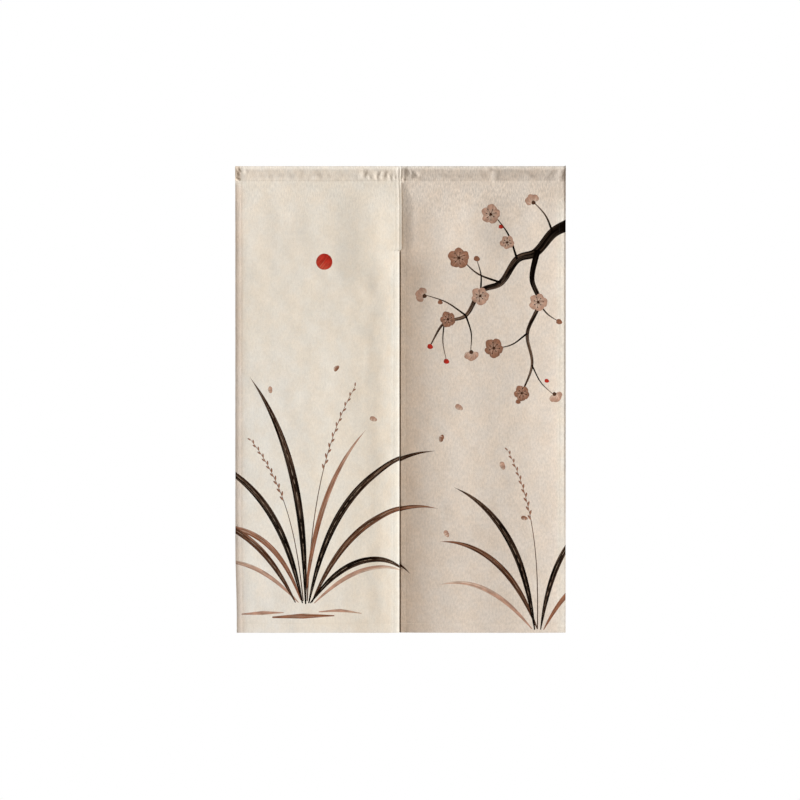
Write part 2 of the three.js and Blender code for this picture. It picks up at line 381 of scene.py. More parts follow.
class Panel:
    """A panel's flat cloth and the form in which it hangs."""

    def __init__(self, name, low, high, front, shift, seam=None, tucked=False):
        self.name, self.low, self.high = name, low, high
        self.front, self.shift, self.seam, self.tucked = front, shift, seam, tucked

    def thickness(self, x, run):
        in_side_hem = np.minimum(x - self.low, self.high - x) <= SIDE_HEM
        in_bottom_hem = run >= END_RUN - BOTTOM_HEM
        return np.where(in_side_hem | in_bottom_hem, HEM_SHEET, SHEET)

    def base(self, x, run):
        """The cloth's face, without its fine relief."""
        squeeze = 0 * x
        for ripple in POCKET_RIPPLES:
            squeeze = squeeze + ripple.squeeze * swell(x - ripple.x, ripple.half)
        from_mouth = np.minimum(x - self.low, self.high - x)
        squeeze = squeeze + MOUTH_SQUEEZE * (1 - smoothstep(from_mouth, 0, MOUTH_REACH))
        front_out, front_height = POCKET_FRONT.at(np.clip(run, 0, FRONT_RUN))
        back_out, back_height = POCKET_BACK.at(np.maximum(-run, 0))
        hem_room = 2 * (self.thickness(x, 0 * run) - SHEET) * smoothstep(-run, 0, -BACK_RUN)
        on_front = run >= 0
        height = np.where(on_front, front_height, back_height)
        rounded = 1 + squeeze * (1 - smoothstep(-height, 0, POCKET_DROP))
        depth = np.where(on_front, -front_out * rounded, back_out * rounded + hem_room)
        hanging = run > FRONT_RUN
        drop = drop_at(run)
        depth = np.where(hanging, self.front(x, drop), depth)
        height = np.where(hanging, -drop, height)
        hung_x = x + self.shift(x, run)
        depth = depth + dent(self.name, hung_x, -height)
        if self.tucked:
            depth = depth + tuck(hung_x, -height)
        return np.stack([hung_x, depth, height], -1)

    def relief(self, x, run):
        """Fine unevenness along the cloth's normal: waves, creases, and troughs along the stitches."""
        drop = drop_at(run)
        total = 0 * x
        for wave in CLOTH_WAVES:
            way = x * math.cos(wave.direction) + run * math.sin(wave.direction)
            total = total + wave.depth * np.sin(2 * np.pi * way / wave.length + wave.phase) * slack(drop)
        for crease in POCKET_CREASES:
            angle = math.radians(crease.turn)
            right, down = x + self.shift(x, run) - crease.x, drop - crease.drop
            across = right * math.cos(angle) + down * math.sin(angle)
            along = down * math.cos(angle) - right * math.sin(angle)
            across = np.where(across < 0, across / crease.left_wall, across)
            total = total - crease.depth * swell(across, crease.half_width) * swell(along, crease.half_length)
        if self.high == HALF_WIDTH:
            lip = LIP.depth * np.maximum(0, 1 - (HALF_WIDTH - x) / LIP.reach) * (run > 0)
            total = total + lip * (1 - (1 - LIP.low) * smoothstep(drop, LIP.start, LIP.end))
        return total - self.troughs(x, run)

    def troughs(self, x, run):
        """How deep the stitches draw the cloth in."""
        side = SIDE_HEM - HEM_STITCH
        bottom = END_RUN - BOTTOM_HEM + HEM_STITCH
        total = 0 * x
        for distance in (x - self.low - side, self.high - side - x, run - bottom, run - FRONT_RUN):
            total = total + TROUGH_DEPTH * swell(distance, TROUGH_HALF)
        if self.seam is not None:
            joined = smoothstep(run, *JOIN.top) * (1 - parting(drop_at(run)))
            above = 1 - smoothstep(run, FRONT_RUN - TROUGH_HALF, FRONT_RUN)
            beyond = x - self.seam + JOIN.further_in * above
            lift = JOIN.lift * np.clip(beyond / JOIN.seam, 0, 1) ** JOIN.lift_power
            on_pocket = 1 - smoothstep(run - FRONT_RUN, *JOIN.settled)
            near_edge = np.clip(1 - (self.high - x) / JOIN.fall_reach, 0, 1)
            fall = JOIN.fall * near_edge**JOIN.fall_power
            lift = lift * (1 - on_pocket) - fall * on_pocket
            half = np.where(beyond < 0, JOIN.left, JOIN.right + JOIN.wider * above)
            groove = JOIN.depth * (1 + JOIN.deeper * above) * swell(beyond, half)
            total = total + (groove - lift) * joined
        return total

    def frame_at(self, x, run):
        """Points on the base form with their outward normals and their tangents across and along."""
        step = TANGENT_STEP
        point = self.base(x, run)
        across = unit(self.base(x + step, run) - self.base(x - step, run))
        along = unit(self.base(x, run + step) - self.base(x, run - step))
        return point, unit(np.cross(along, across)), across, along

    def face(self, x, run):
        point, normal, across, along = self.frame_at(x, run)
        return point + normal * self.relief(x, run)[..., None], normal, across, along


TANGENT_STEP = 1e-5
TROUGH_DEPTH = 0.00016
TROUGH_HALF = 0.0030
# The stitches that join the panels: seam is their distance from the left panel's edge, left and right are
# the widths of the groove's walls, and lift is how far the edge stands forward. On the pocket they are
# further in, the groove is wider and deeper, and the edge falls back until it has settled below
JOIN = SimpleNamespace(
    seam=0.0057, depth=0.00045, left=0.0044, right=0.0020, top=(0.005, 0.014),
    further_in=0.0022, wider=0.0030, deeper=0.7, settled=(0.005, 0.020),
    lift=0.0003, lift_power=3, fall=0.00045, fall_reach=0.0028, fall_power=1.5,
)
CLOTH_WAVES = waves()
POCKET_CREASES = CREASES + puckers()


def unit(v):
    return v / np.linalg.norm(v, axis=-1, keepdims=True)


LEFT = Panel("panel_left", -HALF_WIDTH, LAP, left_front, left_shift, LAP - JOIN.seam)
RIGHT = Panel("panel_right", -LAP, HALF_WIDTH, right_front, right_shift, tucked=True)


# Colours

def srgb(red, green, blue):
    """A display colour, 0 to 255, as linear light."""
    values = []
    for channel in (red, green, blue):
        c = channel / 255
        values.append(c / 12.92 if c <= 0.04045 else ((c + 0.055) / 1.055) ** 2.4)
    return tuple(values)


INKS = {
    "black": srgb(4, 1, 0),
    "umber": srgb(62, 37, 23),
    "russet": srgb(127, 82, 60),
    "rose": srgb(172, 134, 114),
    "wash": srgb(202, 180, 162),
    "red": srgb(170, 26, 13),
    "vermilion": srgb(190, 52, 28),
}
PALER = {"black": "umber", "umber": "russet", "russet": "rose", "rose": "wash"}


# The print: shapes on the flat cloth, in x and drop

class Stroke:
    """A brush stroke along a smooth line, with a width at each of its points."""

    SPACING = 0.005
    THINNEST = 0.0002

    def __init__(self, points, widths, ink, tip=None, dry=0.0, strength=1.0, rib=0.0):
        self.ink, self.tip = np.array(INKS[ink]), np.array(INKS[tip or ink])
        self.dry, self.strength, self.rib = dry, strength, rib
        knots = np.array(points, float)
        self.line, place = smooth_line(knots, self.SPACING)
        self.half = np.maximum(np.interp(place, range(len(widths)), widths) / 2, self.THINNEST)
        steps = np.linalg.norm(np.diff(self.line, axis=0), axis=1)
        self.way = np.concatenate([[0], np.cumsum(steps)])

    def outline(self):
        heading = unit(np.gradient(self.line, axis=0))
        side = np.stack([-heading[:, 1], heading[:, 0]], -1) * self.half[:, None]
        return np.concatenate([self.line + side, (self.line - side)[::-1]])

    def inner(self):
        return self.line[1:-1]

    def coordinates(self, points):
        """Places along and across, in metres; shares of the length, of the half width, and to which side."""
        start, end = self.line[:-1], self.line[1:]
        leg = end - start
        share = ((points[:, None] - start) * leg).sum(-1) / (leg**2).sum(-1)
        share = np.clip(share, 0, 1)
        away = points[:, None] - (start + share[..., None] * leg)
        nearest = np.argmin((away**2).sum(-1), axis=1)
        pick = np.arange(len(points)), nearest
        share, away, leg = share[pick], away[pick], leg[nearest]
        half = self.half[nearest] * (1 - share) + self.half[nearest + 1] * share
        reach = np.linalg.norm(away, axis=1)
        across = np.sign(leg[:, 0] * away[:, 1] - leg[:, 1] * away[:, 0]) * reach
        way = self.way[nearest] + share * np.linalg.norm(leg, axis=1)
        return way, across, way / self.way[-1], np.clip(reach / half, 0, 1), np.clip(across / half, -1, 1)


class Blob:
    """A dab of ink: an oval with a wavering edge."""

    SIDES = 28
    INNER_RING = 0.6
    rib = 0.0

    def __init__(self, x, drop, across, along, turn, ink, tip=None, waver=0.05, dry=0.0, strength=0.95):
        self.centre = np.array([x, drop])
        self.across, self.along, self.turn = across, along, math.radians(turn)
        self.ink, self.tip = np.array(INKS[ink]), np.array(INKS[tip or ink])
        self.waver, self.dry, self.strength = waver, dry, strength

    def radius(self, angle):
        oval = 1 / np.hypot(np.cos(angle) / self.across, np.sin(angle) / self.along)
        uneven = np.sin(3 * angle + 1 + self.turn) + 0.6 * np.sin(5 * angle + 2.6 - 2 * self.turn)
        return oval * (1 + self.waver * uneven)

    def ring(self, share):
        angle = np.linspace(0, 2 * np.pi, self.SIDES, endpoint=False)
        reach = self.radius(angle) * share
        c, s = math.cos(self.turn), math.sin(self.turn)
        local = np.stack([reach * np.cos(angle), reach * np.sin(angle)], -1)
        return self.centre + local @ np.array([[c, s], [-s, c]])

    def outline(self):
        return self.ring(1)

    def inner(self):
        return np.concatenate([[self.centre], self.ring(self.INNER_RING)[::2]])

    def coordinates(self, points):
        c, s = math.cos(self.turn), math.sin(self.turn)
        local = (points - self.centre) @ np.array([[c, -s], [s, c]])
        angle = np.arctan2(local[:, 1], local[:, 0])
        reach = np.linalg.norm(local, axis=1)
        share = np.clip(0.5 + local[:, 1] / (2 * self.along), 0, 1)
        side = np.clip(local[:, 0] / self.across, -1, 1)
        return local[:, 1], local[:, 0], share, np.clip(reach / self.radius(angle), 0, 1), side


def smooth_line(knots, spacing):
    """A line through the knots without corners, and each of its points' place among the knots."""
    padded = np.concatenate([[2 * knots[0] - knots[1]], knots, [2 * knots[-1] - knots[-2]]])
    line, place = [], []
    for i in range(len(knots) - 1):
        a, b, c, d = padded[i : i + 4]
        count = max(2, round(np.linalg.norm(c - b) / spacing))
        for t in np.arange(count) / count:
            point = b + 0.5 * t * (c - a + t * (2 * a - 5 * b + 4 * c - d + t * (3 * (b - c) + d - a)))
            line.append(point)
            place.append(i + t)
    line.append(knots[-1])
    place.append(len(knots) - 1)
    return np.array(line), np.array(place)


# Long grass: lean is from upright, positive to the right, and bend is how much further the tip has turned
GRASS = table(
    "x drop length lean bend width ink dry",
    (-0.262, 1.122, 0.27, -44, -58, 0.012, "rose", 0.30),
    (-0.222, 1.124, 0.27, 46, 64, 0.012, "rose", 0.30),
    (-0.246, 1.114, 0.47, 7, 32, 0.014, "russet", 0.30),
    (-0.256, 1.116, 0.36, -20, -96, 0.015, "russet", 0.30),
    (-0.270, 1.122, 0.37, -27, -64, 0.017, "umber", 0.30),
    (-0.228, 1.122, 0.44, 24, 74, 0.018, "umber", 0.30),
    (-0.252, 1.124, 0.50, -12, -62, 0.020, "black", 0.22),
    (-0.244, 1.126, 0.61, -1, -32, 0.021, "black", 0.18),
    (-0.236, 1.124, 0.55, 12, 70, 0.020, "black", 0.22),
    (-0.232, 1.124, 0.31, 36, 96, 0.017, "black", 0.18),
    (0.352, 1.190, 0.36, -22, -66, 0.016, "umber", 0.30),
    (0.338, 1.190, 0.28, -40, -62, 0.013, "rose", 0.30),
    (0.345, 1.192, 0.44, -8, -54, 0.019, "black", 0.22),
    (0.360, 1.192, 0.33, 9, 42, 0.016, "black", 0.18),
    (0.368, 1.192, 0.23, 28, 50, 0.013, "russet", 0.30),
)
EARS = table(
    "x drop length lean bend width ink",
    (-0.240, 1.118, 0.57, 3, 24, 0.0030, "umber"),
    (-0.250, 1.118, 0.44, -6, -30, 0.0028, "umber"),
    (0.352, 1.190, 0.47, 1, -26, 0.0028, "umber"),
)
BLADE_STEPS = 12
BEND_POWER = 1.8
BLADE_FORM = SimpleNamespace(root=0.16, swell=3.1, taper=0.9)
STEM_TAPER = 0.6
SEEDS = 17
SEED_FROM = 0.60  # the share of an ear's stem that is bare
SEED_LEAN = 24
SEED_HALF = SimpleNamespace(low=0.00943, high=0.0041, wide=0.34)  # less towards the tip
SEED_WAVER = 0.03


def arc(row):
    """The line of a leaf or a stem that rises from its root and bends over more and more towards its tip."""
    t = np.arange(BLADE_STEPS + 1) / BLADE_STEPS
    angle = np.radians(row.lean + row.bend * t**BEND_POWER)
    step = row.length / BLADE_STEPS
    x = row.x + np.concatenate([[0], np.cumsum(step * np.sin(angle[1:]))])
    drop = row.drop - np.concatenate([[0], np.cumsum(step * np.cos(angle[1:]))])
    return t, angle, np.stack([x, drop], -1)


def blade(row):
    t, _, line = arc(row)
    widths = row.width * (BLADE_FORM.root + BLADE_FORM.swell * t) * (1 - t) ** BLADE_FORM.taper
    return Stroke(line, widths, row.ink, PALER[row.ink], row.dry, rib=1.0)


def ear(row):
    """A thin stem with seeds on both sides of its upper part."""
    t, angle, line = arc(row)
    seed_ink = PALER[row.ink]
    shapes = [Stroke(line, row.width * (1 - STEM_TAPER * t), row.ink, seed_ink)]
    for i in range(SEEDS):
        at = SEED_FROM + (1 - SEED_FROM) * i / (SEEDS - 1)
        x, drop = (np.interp(at, t, line[:, k]) for k in (0, 1))
        side = 1 if i % 2 else -1
        turn = math.degrees(np.interp(at, t, angle)) + side * SEED_LEAN
        size = SEED_HALF.low - SEED_HALF.high * at
        x = x + size * math.sin(math.radians(turn))
        drop = drop - size * math.cos(math.radians(turn))
        shapes.append(Blob(x, drop, SEED_HALF.wide * size, size, turn, seed_ink, PALER[seed_ink], SEED_WAVER))
    return shapes


# A branch with blossom: knots of each limb as x, drop and width
LIMBS = [
    [
        (0.432, 0.150, 0.030), (0.392, 0.172, 0.026), (0.348, 0.222, 0.022), (0.300, 0.240, 0.019),
        (0.258, 0.300, 0.016), (0.206, 0.322, 0.013), (0.168, 0.384, 0.010), (0.112, 0.404, 0.007),
        (0.076, 0.462, 0.003),
    ],
    [
        (0.352, 0.216, 0.016), (0.338, 0.290, 0.013), (0.356, 0.352, 0.011), (0.326, 0.430, 0.009),
        (0.338, 0.512, 0.007), (0.306, 0.596, 0.003),
    ],
]
TWIGS = table(
    "x drop to_x to_drop width bow",
    (0.300, 0.240, 0.236, 0.120, 0.006, 0.010),
    (0.258, 0.300, 0.150, 0.232, 0.006, -0.012),
    (0.206, 0.322, 0.196, 0.240, 0.005, 0.006),
    (0.168, 0.384, 0.060, 0.330, 0.005, 0.008),
    (0.168, 0.384, 0.180, 0.480, 0.005, -0.008),
    (0.112, 0.404, 0.118, 0.500, 0.004, 0.006),
    (0.326, 0.430, 0.238, 0.470, 0.005, -0.010),
    (0.338, 0.512, 0.396, 0.590, 0.004, 0.008),
    (0.356, 0.352, 0.408, 0.400, 0.005, 0.006),
    (0.392, 0.172, 0.340, 0.090, 0.006, 0.008),
)
BLOSSOMS = table(
    "x drop radius turn petals ink",
    (0.232, 0.124, 0.025, 10, 5, "rose"),
    (0.150, 0.236, 0.027, 0, 5, "russet"),
    (0.205, 0.334, 0.023, 25, 5, "rose"),
    (0.062, 0.334, 0.023, -70, 3, "rose"),
    (0.122, 0.394, 0.020, 50, 5, "russet"),
    (0.182, 0.478, 0.022, 175, 3, "rose"),
    (0.240, 0.468, 0.025, 30, 5, "russet"),
    (0.354, 0.350, 0.023, 20, 5, "rose"),
    (0.396, 0.586, 0.021, 150, 3, "rose"),
    (0.312, 0.584, 0.020, 44, 5, "russet"),
    (0.342, 0.094, 0.022, -25, 3, "rose"),
    (0.274, 0.196, 0.018, 40, 5, "rose"),
)
BUDS = table(
    "x drop radius ink",
    (0.118, 0.502, 0.0075, "red"),
    (0.408, 0.400, 0.0080, "russet"),
    (0.196, 0.238, 0.0080, "russet"),
    (0.076, 0.464, 0.0075, "red"),
    (0.302, 0.606, 0.0065, "russet"),
    (0.258, 0.156, 0.0060, "red"),
    (0.102, 0.350, 0.0065, "russet"),
    (0.376, 0.552, 0.0060, "red"),
)
# A blossom has five petals if seen from the front and three from the side; sizes are shares of its radius
PETAL_TURN = {5: 72, 3: 44}
PETAL = SimpleNamespace(place=0.56, size=0.49, uneven=0.05, short=0.92, waver=0.06, dry=0.35, strength=0.90)
HEART = {5: 0.16, 3: 0.24}
STAMENS = {5: 7, 3: 0}
STAMEN = SimpleNamespace(reach=0.50, uneven=0.10, turn=13, widths=(0.0012, 0.0008), tip=0.0015)
BUD_SHORT = 0.85
BUD_TURN = 20
FALLEN_SHORT = 0.62
TWIG_TAPER = np.array([1, 0.7, 0.3])
TWIG_DRY = 0.2
LIMB_DRY = 0.45

# Petals adrift, and the low sun
FALLEN = table(
    "x drop size turn ink",
    (0.150, 0.620, 0.011, 30, "rose"),
    (0.105, 0.700, 0.010, 110, "russet"),
    (0.262, 0.770, 0.011, 70, "rose"),
    (-0.070, 0.650, 0.010, 20, "rose"),
    (-0.165, 0.520, 0.009, 130, "russet"),
    (0.318, 0.905, 0.009, 15, "russet"),
    (0.118, 0.945, 0.010, 60, "rose"),
    (-0.335, 0.575, 0.009, 85, "rose"),
)
SUN = SimpleNamespace(x=-0.196, drop=0.246, radius=0.021, turn=35, waver=0.012, dry=0.25, strength=0.97)

# The ground under the grass
GROUND = table(
    "x drop to_x to_drop width ink",
    (-0.412, 1.152, -0.300, 1.148, 0.010, "rose"),
    (-0.330, 1.160, -0.170, 1.156, 0.013, "russet"),
    (-0.210, 1.146, -0.100, 1.150, 0.008, "rose"),
)
GROUND_TAPER = np.array([0.3, 1, 0.2])
GROUND_RISE = 0.003
GROUND_DRY = 0.9


def blossom(row):
    """Petals around a heart with stamens; one seen from the side shows three petals on its cup."""
    shapes = []
    for i in range(row.petals):
        turn = row.turn + (i - (row.petals - 1) / 2) * PETAL_TURN[row.petals]
        angle = math.radians(turn)
        x = row.x + PETAL.place * row.radius * math.sin(angle)
        drop = row.drop - PETAL.place * row.radius * math.cos(angle)
        size = row.radius * (PETAL.size + PETAL.uneven * math.sin(2.1 * i + row.turn))
        brushed = row.ink, PALER[row.ink], PETAL.waver, PETAL.dry, PETAL.strength
        shapes.append(Blob(x, drop, size, PETAL.short * size, turn, *brushed))
    heart = HEART[row.petals] * row.radius
    shapes.append(Blob(row.x, row.drop, heart, heart, 0, "umber"))
    for i in range(STAMENS[row.petals]):
        angle = math.radians(row.turn + STAMEN.turn + i * 360 / STAMENS[row.petals])
        reach = row.radius * (STAMEN.reach + STAMEN.uneven * math.sin(2.4 * i))
        x, drop = row.x + reach * math.sin(angle), row.drop - reach * math.cos(angle)
        shapes.append(Stroke([(row.x, row.drop), (x, drop)], STAMEN.widths, "umber"))
        shapes.append(Blob(x, drop, STAMEN.tip, STAMEN.tip, 0, "black"))
    return shapes


def twig(row):
    middle = np.array([(row.x + row.to_x) / 2, (row.drop + row.to_drop) / 2])
    along = unit(np.array([row.to_x - row.x, row.to_drop - row.drop]))
    bowed = middle + row.bow * np.array([-along[1], along[0]])
    knots = [(row.x, row.drop), tuple(bowed), (row.to_x, row.to_drop)]
    return Stroke(knots, row.width * TWIG_TAPER, "black", "umber", TWIG_DRY)


def print_shapes():
    """Every shape of the print, the lowest first."""
    sun = SUN.x, SUN.drop, SUN.radius, SUN.radius, SUN.turn
    shapes = [Blob(*sun, "red", "vermilion", SUN.waver, SUN.dry, SUN.strength)]
    for row in GROUND:
        middle = (row.x + row.to_x) / 2, row.drop - GROUND_RISE
        knots = [(row.x, row.drop), middle, (row.to_x, row.to_drop)]
        shapes.append(Stroke(knots, row.width * GROUND_TAPER, row.ink, dry=GROUND_DRY))
    for row in EARS:
        shapes += ear(row)
    shapes += [blade(row) for row in GRASS]
    for knots in LIMBS:
        shapes.append(Stroke([k[:2] for k in knots], [k[2] for k in knots], "black", "umber", LIMB_DRY))
    shapes += [twig(row) for row in TWIGS]
    for row in BUDS:
        shapes.append(Blob(row.x, row.drop, row.radius, BUD_SHORT * row.radius, BUD_TURN, row.ink))
    for row in BLOSSOMS:
        shapes += blossom(row)
    for row in FALLEN:
        shapes.append(Blob(row.x, row.drop, row.size, FALLEN_SHORT * row.size, row.turn, row.ink, "wash"))
    return shapes


# The cloth's mesh

GRID = 0.0062
FINE_GRID = 0.0022
CLOSEST = 0.45  # the share of a grid's spacing that is left between its places and others
RIM = 0.0003  # the rim stands this far out of the printed faces
RIM_TURNS = (60, 120)
ON_EDGE = 1e-6
PART_ROWS = 9
ROUND_ROWS = 21
END_ROW = 0.0006
FLAP_ROW = 0.003
HEM_ROW = 0.004
EDGE_COLUMNS = (0.0006, 0.0014, 0.0024, 0.0036, 0.0048, 0.0062)
MERGE = 1e-7  # points of the print this close are one
BLEED = 0.30  # how much of the ink shows on the back
ON_RIM = -1.0  # stands for the rim where the print has its ribs
RIM_PAINTED_SHADE = 0.72  # painted shade: the rim of the cloth is darker
BAKE_FRONT = (0.004, 0.650)
BAKE_BACK = (0.662, 0.982)
BAKE_RIM = (0.986, 0.996)
BAKE_HEIGHT = (0.004, 0.996)


def stations(low, high, fixed, fine):
    """Places from low to high: the fixed ones, and even ones between them, closer in the fine stretches."""
    even = np.linspace(low, high, round((high - low) / GRID) + 1)
    layers = [(FINE_GRID, np.arange(*stretch, FINE_GRID)) for stretch in fine] + [(GRID, even)]
    kept = [low, high, *fixed]
    for spacing, places in layers:
        kept += [place for place in places if min(abs(place - k) for k in kept) > CLOSEST * spacing]
    return np.array(sorted(kept))


# Stretches of the pocket with the sharpest creases
CREASED = ((-0.425, -0.388), (-0.098, 0.052), (0.380, 0.425))


def around(place):
    return [place + k * TROUGH_HALF / 2 for k in (-2, -1, 0, 1, 2)]


def panel_stations(panel):
    """Columns and rows of the cloth's points, closer at its edges, hems and stitches."""
    low, high = panel.low + RIM, panel.high - RIM
    columns = [] if panel.seam is None else around(panel.seam)
    for edge, inward in ((panel.low, 1), (panel.high, -1)):
        columns += [edge + inward * (RIM + w) for w in EDGE_COLUMNS]
        columns += [edge + inward * (SIDE_HEM + w) for w in (HEM_STEP, 2 * HEM_STEP)]
        columns += around(edge + inward * (SIDE_HEM - HEM_STITCH))
    bottom = END_RUN - BOTTOM_HEM
    rows = [TOP_RUN + RIM + END_ROW, BACK_RUN, BACK_RUN + FLAP_ROW]
    rows += [END_RUN - RIM - END_ROW, END_RUN - HEM_ROW, bottom - HEM_STEP, bottom - 2 * HEM_STEP]
    rows += around(bottom + HEM_STITCH) + around(FRONT_RUN)
    rows += list(run_at(JOINED_DROP) + np.linspace(-PART_RUN / 2, PART_RUN / 2, PART_ROWS))
    rows += list(np.linspace(-POCKET_FRONT.arc, POCKET_FRONT.arc, ROUND_ROWS))
    fine_columns = [(max(low, a), min(high, b)) for a, b in CREASED if a < high and b > low]
    columns = stations(low, high, columns, fine_columns)
    rows = stations(TOP_RUN + RIM, END_RUN - RIM, rows, [(POCKET_FRONT.arc, FRONT_RUN)])
    return columns, rows


def printed_triangles(panel, shapes):
    """Triangles of the flat cloth that follow the print's outlines, with the shape on top at each of them."""
    columns, rows = panel_stations(panel)
    grid = np.stack(np.meshgrid(columns, rows), -1).reshape(-1, 2)
    wide, high = len(columns), len(rows)
    index = np.arange(wide * high).reshape(high, wide)
    border = np.concatenate([index[0, :-1], index[:-1, -1], index[-1, :0:-1], index[:0:-1, 0]])
    points, faces, used = [grid], [list(border)], []
    count = len(grid)
    for number, shape in enumerate(shapes):
        outline = shape.outline() + TO_RUN
        if outline[:, 0].max() < columns[0] or outline[:, 0].min() > columns[-1]:
            continue
        x, y = outline.T
        if np.sum(x * np.roll(y, -1) - y * np.roll(x, -1)) < 0:
            outline = outline[::-1]
        inner = shape.inner() + TO_RUN
        faces.append(list(range(count, count + len(outline))))
        used.append(number)
        points += [outline, inner]
        count += len(outline) + len(inner)
    flat = [Vector(p) for p in np.concatenate(points)]
    verts, _, triangles, _, _, origins = delaunay_2d_cdt(flat, [], faces, 0, MERGE, True)
    inside, owner = [], []
    for triangle, origin in zip(triangles, origins, strict=True):
        if 0 in origin:
            inside.append(triangle)
            owner.append(used[max(origin) - 1] if max(origin) > 0 else -1)
    inside, owner = np.array(inside), np.array(owner)
    kept, compact = np.unique(inside, return_inverse=True)
    return np.array(verts)[kept], compact.reshape(-1, 3), owner


def border_loop(triangles):
    """The points round the triangles' outer border, in order."""
    edges = {}
    for a, b, c in triangles.tolist():
        for edge in ((a, b), (b, c), (c, a)):
            edges[edge] = True
    following = {a: b for a, b in edges if (b, a) not in edges}
    loop = [next(iter(following))]
    while following[loop[-1]] != loop[0]:
        loop.append(following[loop[-1]])
    return np.array(loop)


def cloth_sheet(panel, shapes, material):
    """A panel as one closed sheet: printed face, back, and a rounded rim."""
    flat, triangles, owner = printed_triangles(panel, shapes)
    x, run = flat.T
    face, normal, across, along = panel.face(x, run)
    thick = panel.thickness(x, run)[:, None]
    back = face - normal * thick

    loop = border_loop(triangles)
    from_low, from_high = flat[loop] - flat.min(0), flat.max(0) - flat[loop]
    outward = unit((from_high <= ON_EDGE).astype(float) - (from_low <= ON_EDGE))
    out = outward[:, :1] * across[loop] + outward[:, 1:] * along[loop]
    middle, radius = (face[loop] + back[loop]) / 2, thick[loop] / 2
    rings = [loop]
    points = [face, back]
    count = 2 * len(flat)
    for turn in RIM_TURNS:
        c, s = math.cos(math.radians(turn)), math.sin(math.radians(turn))
        points.append(middle + radius * c * normal[loop] + RIM * s * out)
        rings.append(np.arange(count, count + len(loop)))
        count += len(loop)
    rings.append(loop + len(flat))
    quads = []
    for upper, lower in zip(rings, rings[1:]):
        quads.append(np.stack([upper, np.roll(upper, -1), np.roll(lower, -1), lower], -1))
    quads = np.concatenate(quads)

    mesh = bpy.data.meshes.new(panel.name + "_cloth")
    faces = triangles[:, ::-1].tolist() + (triangles + len(flat)).tolist() + quads.tolist()
    mesh.from_pydata(np.concatenate(points).tolist(), [], faces)
    paint_sheet(mesh, shapes, flat, triangles, owner, loop)
    make_solid(mesh)
    for border in (loop, loop + len(flat)):
        sharpen(mesh, border)
    return add_piece(mesh, material)


def add_piece(mesh, material):
    mesh.materials.append(material)
    piece = bpy.data.objects.new(mesh.name, mesh)
    bpy.context.scene.collection.objects.link(piece)
    return piece


def make_solid(mesh):
    """Turns every face outward and shades the mesh smoothly."""
    work = bmesh.new()
    work.from_mesh(mesh)
    bmesh.ops.recalc_face_normals(work, faces=work.faces)
    work.to_mesh(mesh)
    work.free()
    mesh.shade_smooth()


def sharpen(mesh, border):
    """Keeps the shading of a face apart from that of the rim along the face's border."""
    place = np.full(len(mesh.vertices), -1)
    place[border] = np.arange(len(border))
    ends = np.zeros(2 * len(mesh.edges), int)
    mesh.edges.foreach_get("vertices", ends)
    ends = place[ends.reshape(-1, 2)]
    apart = np.abs(ends[:, 0] - ends[:, 1])
    on_border = (ends.min(1) >= 0) & ((apart == 1) | (apart == len(border) - 1))
    for number in np.flatnonzero(on_border):
        mesh.edges[int(number)].use_edge_sharp = True


def paint_sheet(mesh, shapes, flat, triangles, owner, loop):
    """Writes the ink and brush values and the maps to the corners of a sheet's faces."""
    corners = len(mesh.loops)
    per_side = 3 * len(triangles)
    ink, tip = np.zeros((corners, 4)), np.zeros((corners, 4))
    brush, place = np.zeros((corners, 3)), np.zeros((corners, 3))
    # the rim is marked for its painted shade
    place[2 * per_side :, 2] = ON_RIM
    sides = triangles[:, ::-1], triangles
    for side, offset, bleed in zip(sides, (0, per_side), (1, BLEED)):
        for number in np.unique(owner[owner >= 0]):
            shape = shapes[number]
            chosen = np.flatnonzero(owner == number)
            at = (offset + 3 * chosen[:, None] + np.arange(3)).ravel()
            spots = flat[side[chosen].ravel()] - TO_RUN
            along, across, share, edge, side_share = shape.coordinates(spots)
            ink[at] = (*shape.ink, bleed * shape.strength)
            tip[at, :3], tip[at, 3] = shape.tip, share
            brush[at] = np.stack([along + number, across, shape.dry * share], -1)
            place[at] = np.stack([edge, side_share, 0 * edge + shape.rib], -1)
    for name, values in (("ink", ink), ("tip", tip)):
        mesh.attributes.new(name, "FLOAT_COLOR", "CORNER").data.foreach_set("color", values.ravel())
    for name, values in (("brush", brush), ("place", place)):
        mesh.attributes.new(name, "FLOAT_VECTOR", "CORNER").data.foreach_set("vector", values.ravel())

    low, high = flat.min(0), flat.max(0)
    share = (flat - low) / (high - low)
    front, back = (share[side].reshape(-1, 2) for side in sides)
    rim_spots = np.zeros((corners - 2 * per_side, 2))
    rim_flat = np.zeros((corners - 2 * per_side, 2))
    count = len(loop)
    for ring in range(len(RIM_TURNS) + 1):
        for corner, (step, down) in enumerate(((0, 0), (1, 0), (1, 1), (0, 1))):
            at = 4 * (ring * count + np.arange(count)) + corner
            rim_spots[at, 0] = (ring + down) / (len(RIM_TURNS) + 1)
            rim_spots[at, 1] = (np.arange(count) + step) / count
            rim_flat[at] = flat[np.roll(loop, -step)]
    weave = np.concatenate([flat[side].reshape(-1, 2) for side in sides] + [rim_flat])
    spread = np.concatenate([into(front, BAKE_FRONT), into(back, BAKE_BACK), into(rim_spots, BAKE_RIM)])
    mesh.uv_layers.new(name="weave").data.foreach_set("uv", weave.ravel())
    mesh.uv_layers.new(name="OFBake").data.foreach_set("uv", spread.ravel())


def into(spots, strip):
    """Places from 0 to 1 moved into an upright strip of the bake's map."""
    wide = strip[0] + (strip[1] - strip[0]) * spots[:, 0]
    high = BAKE_HEIGHT[1] + (BAKE_HEIGHT[0] - BAKE_HEIGHT[1]) * spots[:, 1]
    return np.stack([wide, high], -1)


# The sewing

